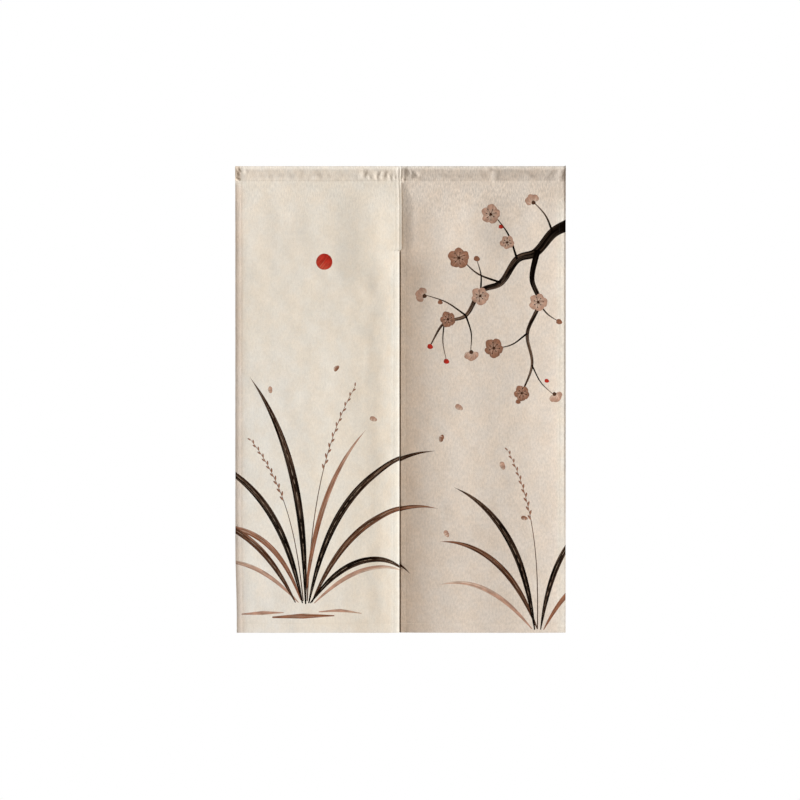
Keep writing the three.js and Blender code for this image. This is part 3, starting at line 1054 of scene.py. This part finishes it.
STITCH_PITCH = 0.0042
STITCH_LENGTH = 0.0034
THREAD_RADIUS = 0.00028
STITCH_SIDES = 5
STITCH_CLEAR = 0.003  # from a line of stitches to an edge or to another line
STITCH_RINGS = table(
    "place swell rise",
    (0, 0.5, -0.9),
    (0.18, 1, 0.35),
    (0.5, 1, 0.6),
    (0.82, 1, 0.35),
    (1, 0.5, -0.9),
)
TACK_STITCHES = 5
TACK_SPAN = (-0.0052, -0.0016)  # from the left panel's edge
TACK_LENGTH = 0.0035


def stitch_line(start, end):
    """Ends of the stitches along a straight line on the flat cloth."""
    start, end = np.array(start, float), np.array(end, float)
    length = np.linalg.norm(end - start)
    first = np.arange(0, length - STITCH_LENGTH, STITCH_PITCH)
    way = (end - start) / length
    return np.stack([start + first[:, None] * way, start + (first + STITCH_LENGTH)[:, None] * way], 1)


def tack(panel_edge, run):
    """A bar of short upright stitches side by side."""
    x = panel_edge + np.linspace(*TACK_SPAN, TACK_STITCHES)
    upper = np.stack([x, np.full_like(x, run - TACK_LENGTH / 2)], -1)
    lower = np.stack([x, np.full_like(x, run + TACK_LENGTH / 2)], -1)
    return np.stack([upper, lower], 1)


def panel_stitches(panel):
    """The stitches of a panel's own hems and pocket: those on its face, and those on its back."""
    side = SIDE_HEM - HEM_STITCH
    low, high = panel.low + STITCH_CLEAR, panel.high - STITCH_CLEAR
    hems, pocket_hems = [], []
    for x in (panel.low + side, panel.high - side):
        hems.append(stitch_line((x, FRONT_RUN + STITCH_CLEAR), (x, END_RUN - STITCH_CLEAR)))
        pocket_hems.append(stitch_line((x, BACK_RUN), (x, FRONT_RUN - STITCH_CLEAR)))
    across = (END_RUN - BOTTOM_HEM + HEM_STITCH, FRONT_RUN, BACK_RUN)
    bottom, pocket, flap = (stitch_line((low, run), (high, run)) for run in across)
    hems.append(bottom)
    return hems + pocket_hems + [pocket, flap], hems


def ink_at(shapes, spots):
    """Ink and its strength at places on the flat cloth."""
    found = np.zeros((len(spots), 4))
    x, run = spots.T[:, :, None]
    for shape in shapes:
        start = shape.outline() + TO_RUN
        end = np.roll(start, -1, axis=0)
        crossed = (start[:, 1] > run) != (end[:, 1] > run)
        rise = np.where(start[:, 1] == end[:, 1], 1, end[:, 1] - start[:, 1])
        crossing = start[:, 0] + (run - start[:, 1]) / rise * (end[:, 0] - start[:, 0])
        inside = (crossed & (x < crossing)).sum(1) % 2 == 1
        found[inside] = (*shape.ink, shape.strength)
    return found


def join_stitches():
    """The line and the tack that hold the panels together above the slit."""
    top, end = FRONT_RUN + STITCH_CLEAR, run_at(JOINED_DROP)
    seam = LAP - JOIN.seam
    return [stitch_line((seam, top), (seam, end)), tack(LAP, end)]


def stitches(name, panel, on_face, on_back, shapes, material):
    """Threads that lie on the cloth and dive into it at both ends; the print goes over those on its face."""
    points, faces, inks = [], [], []
    count = 0
    angle = np.linspace(0, 2 * np.pi, STITCH_SIDES, endpoint=False)
    for ends, outward in ((np.concatenate(on_face), True), (np.concatenate(on_back), False)):
        rings = []
        for ring in STITCH_RINGS:
            spot = ends[:, 0] + ring.place * (ends[:, 1] - ends[:, 0])
            face, normal, across, along = panel.face(*spot.T)
            if not outward:
                face = face - normal * panel.thickness(*spot.T)[:, None]
                normal = -normal
            heading = unit(ends[:, 1] - ends[:, 0])
            side = unit(heading[:, 1:] * across - heading[:, :1] * along)
            centre = face + ring.rise * THREAD_RADIUS * normal
            radius = THREAD_RADIUS * ring.swell
            ring_points = [centre + radius * (math.cos(a) * side + math.sin(a) * normal) for a in angle]
            rings.append(np.stack(ring_points, 1))
        block = np.stack(rings, 1)
        points.append(block.reshape(-1, 3))
        size = len(STITCH_RINGS) * STITCH_SIDES
        ink = ink_at(shapes if outward else [], ends.mean(1))
        inks.append(np.repeat(ink, size, axis=0))
        first = count + size * np.arange(len(ends))
        for r in range(len(STITCH_RINGS) - 1):
            for k in range(STITCH_SIDES):
                a, b = r * STITCH_SIDES + k, r * STITCH_SIDES + (k + 1) % STITCH_SIDES
                quad = np.array([a, b, b + STITCH_SIDES, a + STITCH_SIDES])
                faces += (first[:, None] + quad).tolist()
        for r in (0, len(STITCH_RINGS) - 1):
            cap = r * STITCH_SIDES + np.arange(STITCH_SIDES)
            faces += (first[:, None] + cap).tolist()
        count += size * len(ends)
    mesh = bpy.data.meshes.new(name)
    mesh.from_pydata(np.concatenate(points).tolist(), [], faces)
    make_solid(mesh)
    colours = mesh.attributes.new("ink", "FLOAT_COLOR", "POINT")
    colours.data.foreach_set("color", np.concatenate(inks).ravel())
    return add_piece(mesh, material)


# Materials

class Nodes:
    """Short ways to add and join the nodes of a material."""

    def __init__(self, name):
        self.material = bpy.data.materials.new(name)
        self.material.use_nodes = True
        self.tree = self.material.node_tree
        self.shader = self.tree.nodes["Principled BSDF"]

    def add(self, kind, settings=None, **inputs):
        node = self.tree.nodes.new(kind)
        for key, value in (settings or {}).items():
            setattr(node, key, value)
        for key, value in inputs.items():
            self.put(node.inputs[key.replace("_", " ")], value)
        return node

    def surface(self, **inputs):
        for key, value in inputs.items():
            self.put(self.shader.inputs[key.replace("_", " ")], value)

    def put(self, socket, value):
        if isinstance(value, bpy.types.NodeSocket):
            self.tree.links.new(value, socket)
        else:
            socket.default_value = value

    def attribute(self, name):
        return self.add("ShaderNodeAttribute", {"attribute_name": name})

    def math(self, operation, first, second=0.0):
        node = self.tree.nodes.new("ShaderNodeMath")
        node.operation = operation
        self.put(node.inputs[0], first)
        self.put(node.inputs[1], second)
        return node.outputs[0]

    def times(self, first, second):
        return self.math("MULTIPLY", first, second)

    def plus(self, first, second):
        return self.math("ADD", first, second)

    def ramp(self, value, low, high, to_low=0.0, to_high=1.0):
        node = self.tree.nodes.new("ShaderNodeMapRange")
        node.interpolation_type = "SMOOTHSTEP"
        for i, v in enumerate((value, low, high, to_low, to_high)):
            self.put(node.inputs[i], v)
        return node.outputs[0]

    def noise(self, vector, scale, detail=2.0, roughness=0.5):
        node = self.add("ShaderNodeTexNoise", Vector=vector, Scale=scale, Detail=detail, Roughness=roughness)
        return node.outputs["Fac"]

    def long_noise(self, vector, scales, detail=2.0, roughness=0.5):
        node = self.add("ShaderNodeMapping", Vector=vector)
        node.inputs["Scale"].default_value = scales
        return self.noise(node.outputs["Vector"], 1.0, detail, roughness)

    def shade(self, colour, amount):
        node = self.add("ShaderNodeVectorMath", {"operation": "SCALE"}, Vector=colour, Scale=amount)
        return node.outputs["Vector"]

    def tint(self, colour, factors):
        node = self.add("ShaderNodeVectorMath", {"operation": "MULTIPLY"})
        self.put(node.inputs[0], colour)
        self.put(node.inputs[1], factors)
        return node.outputs["Vector"]

    def mix(self, share, first, second):
        node = self.tree.nodes.new("ShaderNodeMix")
        node.data_type = "RGBA"
        self.put(node.inputs[0], share)
        for socket, value in ((node.inputs[6], first), (node.inputs[7], second)):
            self.put(socket, value if isinstance(value, bpy.types.NodeSocket) else (*value, 1.0))
        return node.outputs[2]


# Scales of noises: across and along the cloth, and along and across a brush stroke
SLUBS_ACROSS = (90, 700, 1)
SLUBS_DOWN = (500, 80, 1)
SPECKS = (230, 110, 1)
WARMTHS = (24, 19.2, 24)
BLOTCHES = 9.0
BRUSH_STREAKS = (9, 330, 0)
BRUSH_HAIRS = (14, 800, 0)
POOLS = (45, 120, 0)

# The weave: threads sway a little and pass over and under each other; under and gap are tones, gap the
# painted shade between the threads
WEAVE = SimpleNamespace(
    pitch=0.0006, sway=0.0016, sway_scale=70.0, crossing=(-0.6, 0.6), under=0.35, gaps=(0.20, 0.75), gap=0.86,
    uneven=(0.7, 1.3), roughness=(0.84, 0.96), strength=0.35, height=0.00016,
)
# Tones of the ground between the low and the high values of its noises
NOISE_RANGE = (0.30, 0.70)
BLOTCH_RANGE = (0.30, 0.72)
BLOTCH_TONES = (1.02, 0.965)
SPECK_SHARE = 0.8  # of the grain
# The ink: it turns to its tip's colour, raggedly and more on one side, has a darker edge and pools, and
# leaves a pale rib, and bare cloth where the brush ran dry and a little between the threads
INKING = SimpleNamespace(
    streaks=(0.25, 0.75), ragged=0.55, one_sided=0.18, turning=(0.30, 1.20),
    edge=(0.65, 1.0), edge_tone=0.82, pools=(0.28, 0.72), pool_tones=(1.25, 0.75),
    rib=(0.02, 0.16), rib_pools=(0.40, 0.62), rib_strength=0.55,
    bare=(0.98, 1.16), gaps=(0.20, 0.60), gap=0.997,
)
GATHER_SHADE_RUN = (0.06, 0.20)  # the run over which the painted shade of the gathers below the pocket fades
SLUB_AND_GATHER_SHADE_SHARES = (1.4, 0.2)  # of the grain, above and below that; above, most of it is painted shade of the gathers
WARM_TINT = (1.010, 0.985, 0.958)
COOL_TINT = (0.988, 1.002, 1.020)
THIN_INK = (0.74, 0.60, 0.50)  # what is left of the cloth's colour where a brush ran dry

# Patches of the cloth with another tone, each full up to one place and gone from another, across and along
# the cloth. The pockets are cooler along their top fold, the left one also darker; the left pocket is paler,
# a painted highlight, but for its mouth, which has painted shade, and the right one is darker on its right.
# The left panel is yellowed at its outer edge, cooler in the middle and warmer near the seam; the right one
# is paler at its outer edge, has warm painted shade beside the slit and a dark painted shadow on its turned
# edge in the slit. Both are darker at the bottom
EVERYWHERE = (2.0, 3.0)
ON_POCKET = (FRONT_RUN - 0.004, FRONT_RUN)
BESIDE_SLIT = (run_at(JOINED_DROP + PART_RUN), run_at(JOINED_DROP))
PATCH = "tint across along"
PATCHES = {
    "panel_left": table(
        PATCH,
        # painted highlight: the whole left pocket is paler
        ((1.085, 1.070, 1.070), EVERYWHERE, ON_POCKET),
        # darker and cooler along the top fold
        ((0.915, 0.935, 0.955), EVERYWHERE, (0.009, 0.022)),
        ((1.040, 1.040, 1.045), (-0.330, -0.190), (0.120, 0.320)),
        ((0.965, 0.960, 0.960), EVERYWHERE, (1.160, 0.980)),
        # painted shade in the left pocket's mouth
        ((0.880, 0.800, 0.730), (-0.415, -0.408), ON_POCKET),
        ((1.047, 0.985, 0.962), (-0.416, -0.396), (0.070, 0.040)),
        ((1.000, 1.025, 1.060), (-0.340, -0.190), (0.620, 0.400)),
        ((1.000, 0.985, 0.965), (-0.085, -0.165), (0.200, 0.100)),
        ((0.985, 1.015, 1.045), (-0.014, -0.024), (0.320, 0.160)),
    ),
    "panel_right": table(
        PATCH,
        # cooler along the top fold
        ((0.955, 1.005, 1.035), EVERYWHERE, (0.005, 0.016)),
        ((0.950, 0.945, 0.945), (0.225, 0.185), ON_POCKET),
        ((0.935, 0.930, 0.930), EVERYWHERE, (1.000, 0.700)),
        ((0.980, 1.020, 1.030), (0.412, 0.396), (0.120, 0.050)),
        # warm painted shade on the right panel beside the slit
        ((0.860, 0.795, 0.735), (0.000, 0.110), (0.260, 0.060)),
        # painted shadow of the gap between the panels, near black on the right panel's turned edge in the
        # slit
        ((0.320, 0.280, 0.250), (0.000, 0.0012), BESIDE_SLIT),
    ),
}


def cloth_material(panel, ground, grain):
    """Plain-woven cotton and linen, dyed through with the print."""
    n = Nodes(panel.name + "_print")
    flat = n.add("ShaderNodeUVMap", {"uv_map": "weave"}).outputs["UV"]
    ink, tip, brush, place = (n.attribute(name) for name in ("ink", "tip", "brush", "place"))
    brush = brush.outputs["Vector"]
    dry = n.add("ShaderNodeSeparateXYZ", Vector=brush).outputs[2]
    edge, side, rib = n.add("ShaderNodeSeparateXYZ", Vector=place.outputs["Vector"]).outputs

    # Threads: round warp and weft that pass over each other by turns, uneven and a little out of line
    slub_across = n.long_noise(flat, SLUBS_ACROSS)
    slub_down = n.long_noise(flat, SLUBS_DOWN)
    uneven = n.plus(slub_across, slub_down)
    parts = n.add("ShaderNodeSeparateXYZ", Vector=flat)
    sway = n.add("ShaderNodeTexNoise", Vector=flat, Scale=WEAVE.sway_scale, Detail=2.0).outputs["Color"]
    sway = n.add("ShaderNodeSeparateXYZ", Vector=sway)
    ways = []
    for axis in (0, 1):
        shifted = n.plus(parts.outputs[axis], n.times(sway.outputs[axis], WEAVE.sway))
        ways.append(n.times(shifted, math.pi / WEAVE.pitch))
    warp, weft = (n.math("SINE", way) for way in ways)
    over = n.times(warp, weft)
    warp_top = n.times(n.math("ABSOLUTE", warp), n.ramp(over, *WEAVE.crossing, WEAVE.under, 1.0))
    weft_top = n.times(n.math("ABSOLUTE", weft), n.ramp(over, *WEAVE.crossing, 1.0, WEAVE.under))
    threads = n.math("MAXIMUM", warp_top, weft_top)

    # The ground: blotched in tone and in warmth, with paler and darker threads and specks, and with painted
    # shade of the gathers below the pocket
    blotch = n.noise(flat, BLOTCHES, 3.0, 0.55)
    warmth = n.long_noise(flat, WARMTHS, 3.0, 0.6)
    speck = n.long_noise(flat, SPECKS, 2.0, 0.7)
    warm, cool = (tuple(c * t for c, t in zip(ground, tint)) for tint in (WARM_TINT, COOL_TINT))
    tone = n.mix(n.ramp(warmth, *NOISE_RANGE), cool, warm)
    tone = n.shade(tone, n.ramp(blotch, *BLOTCH_RANGE, *BLOTCH_TONES))
    # painted shade of the gathers below the pocket, over the slubs of the grain
    gather_shade = n.ramp(parts.outputs[1], *GATHER_SHADE_RUN, *SLUB_AND_GATHER_SHADE_SHARES)
    streaks = n.times(n.ramp(slub_down, *NOISE_RANGE, grain, -grain), gather_shade)
    tone = n.shade(tone, n.plus(streaks, 1.0))
    specks = SPECK_SHARE * grain
    tone = n.shade(tone, n.ramp(speck, *NOISE_RANGE, 1 + specks, 1 - specks))
    # painted shade between the threads
    tone = n.shade(tone, n.ramp(threads, *WEAVE.gaps, WEAVE.gap, 1.0))
    # painted shade on the rim of the cloth
    tone = n.shade(tone, n.ramp(rib, ON_RIM, 0.0, RIM_PAINTED_SHADE, 1.0))
    for patch in PATCHES[panel.name]:
        across = n.ramp(parts.outputs[0], *patch.across, 1.0, 0.0)
        along = n.ramp(parts.outputs[1], *patch.along, 1.0, 0.0)
        tone = n.mix(n.times(across, along), tone, n.tint(tone, patch.tint))

    # The ink
    streak = n.long_noise(brush, BRUSH_STREAKS, 3.0, 0.6)
    hairs = n.long_noise(brush, BRUSH_HAIRS, 2.0, 0.6)
    pooled = n.long_noise(brush, POOLS)
    turning = n.plus(tip.outputs["Alpha"], n.ramp(streak, *INKING.streaks, -INKING.ragged, INKING.ragged))
    turning = n.plus(turning, n.times(side, INKING.one_sided))
    stain = n.mix(n.ramp(turning, *INKING.turning), ink.outputs["Color"], tip.outputs["Color"])
    stain = n.shade(stain, n.ramp(edge, *INKING.edge, 1.0, INKING.edge_tone))
    stain = n.shade(stain, n.ramp(pooled, *INKING.pools, *INKING.pool_tones))
    spine = n.times(n.ramp(edge, *INKING.rib, 1.0, 0.0), rib)
    spine = n.times(spine, n.ramp(pooled, *INKING.rib_pools, 0.0, INKING.rib_strength))
    bare = n.times(n.ramp(n.plus(streak, hairs), *INKING.bare), dry)
    bare = n.math("MAXIMUM", bare, spine)
    cover = n.times(ink.outputs["Alpha"], n.math("SUBTRACT", 1.0, bare))
    cover = n.times(cover, n.ramp(threads, *INKING.gaps, INKING.gap, 1.0))
    thin = n.mix(ink.outputs["Alpha"], tone, n.tint(tone, THIN_INK))

    height = n.plus(threads, uneven)
    bump = n.add("ShaderNodeBump", Height=height, Strength=WEAVE.strength, Distance=WEAVE.height)
    roughness = n.ramp(uneven, *WEAVE.uneven, *WEAVE.roughness)
    n.surface(Base_Color=n.mix(cover, thin, stain), Normal=bump.outputs["Normal"], Roughness=roughness)
    n.surface(Specular_IOR_Level=0.01, Sheen_Weight=0.004, Sheen_Roughness=0.45)
    return n.material


def thread_material(name, colour):
    """Twisted sewing cotton."""
    n = Nodes(name)
    place = n.add("ShaderNodeTexCoord").outputs["Object"]
    twist = n.noise(place, 1400.0, 1.0)
    wear = n.noise(place, 30.0, 2.0)
    tone = n.mix(n.ramp(wear, 0.35, 0.7), colour, tuple(0.86 * c for c in colour))
    # painted shade in the grooves of the twist
    tone = n.mix(n.ramp(twist, 0.40, 0.60, 0.25, 0.0), tone, tuple(0.6 * c for c in colour))
    ink = n.attribute("ink")
    tone = n.mix(ink.outputs["Alpha"], tone, ink.outputs["Color"])
    bump = n.add("ShaderNodeBump", Height=twist, Strength=0.4, Distance=0.0002)
    n.surface(Base_Color=tone, Normal=bump.outputs["Normal"], Roughness=0.8, Sheen_Weight=0.1)
    return n.material


# Stage, light and camera

FLOOR_DROP = 2.05
FLOOR_HALF = 1.4
FLOOR_PAINT = (0.66, 0.66, 0.65, 1)
FLOOR_ROUGHNESS = 0.9
FRAME_WIDTH = 2.057  # the width of the view at the curtain
LENS = 135.0
SENSOR = 36.0
VIEW_CENTRE = (-0.0013, 0.0, -0.6014)


def studio():
    floor_mesh = bpy.data.meshes.new("floor")
    sides = ((-1, -1), (1, -1), (1, 1), (-1, 1))
    corners = [(FLOOR_HALF * x, FLOOR_HALF * y, -FLOOR_DROP) for x, y in sides]
    floor_mesh.from_pydata(corners, [], [(0, 1, 2, 3)])
    paint = Nodes("pale_floor")
    paint.surface(Base_Color=FLOOR_PAINT, Roughness=FLOOR_ROUGHNESS)
    add_piece(floor_mesh, paint.material)

    world = bpy.data.worlds.new("studio")
    bpy.context.scene.world = world
    world.use_nodes = True
    tree = world.node_tree
    tree.nodes.clear()
    ray = tree.nodes.new("ShaderNodeLightPath")
    choose = tree.nodes.new("ShaderNodeMixShader")
    out = tree.nodes.new("ShaderNodeOutputWorld")
    tree.links.new(ray.outputs["Is Camera Ray"], choose.inputs[0])
    for socket, (colour, strength) in enumerate((AMBIENT, BACKDROP), start=1):
        light = tree.nodes.new("ShaderNodeBackground")
        light.inputs["Color"].default_value = colour
        light.inputs["Strength"].default_value = strength
        tree.links.new(light.outputs[0], choose.inputs[socket])
    tree.links.new(choose.outputs[0], out.inputs["Surface"])

    for row in LAMPS:
        lamp = bpy.data.lights.new(row.name, "SUN")
        lamp.energy, lamp.color = row.energy, row.colour
        lamp.angle = math.radians(row.spread)
        holder = bpy.data.objects.new(row.name, lamp)
        side, up = math.radians(row.side), math.radians(row.up)
        toward = Vector((math.sin(side) * math.cos(up), -math.cos(side) * math.cos(up), math.sin(up)))
        holder.rotation_euler = toward.to_track_quat("Z", "Y").to_euler()
        bpy.context.scene.collection.objects.link(holder)
    bpy.context.scene.view_settings.view_transform = "Standard"


# Light from all around and the white backdrop: colour and strength
AMBIENT = ((1.0, 0.84, 0.70, 1.0), 0.06)
BACKDROP = ((1.0, 1.0, 1.0, 1.0), 1.0)
LAMPS = table(
    "name side up spread energy colour",
    ("key", 70, 10, 25, 6.0, (0.98, 1.0, 1.025)),
    ("top", 0, 65, 60, 0.7, (1.0, 1.0, 1.0)),
    ("fill", 10, 10, 120, 0.50, (1.0, 0.84, 0.70)),
    ("behind", 160, 10, 60, 2.6, (1.0, 0.98, 0.95)),
)


def photo_camera():
    data = bpy.data.cameras.new("camera")
    data.lens, data.sensor_width = LENS, SENSOR
    camera = bpy.data.objects.new("camera", data)
    distance = FRAME_WIDTH * LENS / SENSOR
    camera.location = Vector(VIEW_CENTRE) + Vector((0, -distance, 0))
    camera.rotation_euler = (math.pi / 2, 0, 0)
    bpy.context.scene.collection.objects.link(camera)
    bpy.context.scene.camera = camera


# The curtain

GROUND_LEFT = srgb(232, 224, 210)
GROUND_RIGHT = srgb(222, 210, 196)
GRAIN_LEFT = 0.055
GRAIN_RIGHT = 0.10
THREAD = srgb(222, 210, 192)

photo_camera()
studio()
shapes = print_shapes()
thread = thread_material("sewing_thread", THREAD)
face_left, back_left = panel_stitches(LEFT)
face_right, back_right = panel_stitches(RIGHT)
join = join_stitches()

for panel, pocket, on_face, on_back, ground, grain in (
    (LEFT, "rod_pocket_left", face_left + join, back_left, GROUND_LEFT, GRAIN_LEFT),
    (RIGHT, "rod_pocket_right", face_right, back_right, GROUND_RIGHT, GRAIN_RIGHT),
):
    cloth = cloth_sheet(panel, shapes, cloth_material(panel, ground, grain))
    sewing = stitches(panel.name + "_stitches", panel, on_face, on_back, shapes, thread)
    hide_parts(panel.name, pocket)
    for piece in (cloth, sewing):
        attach(piece, "root")
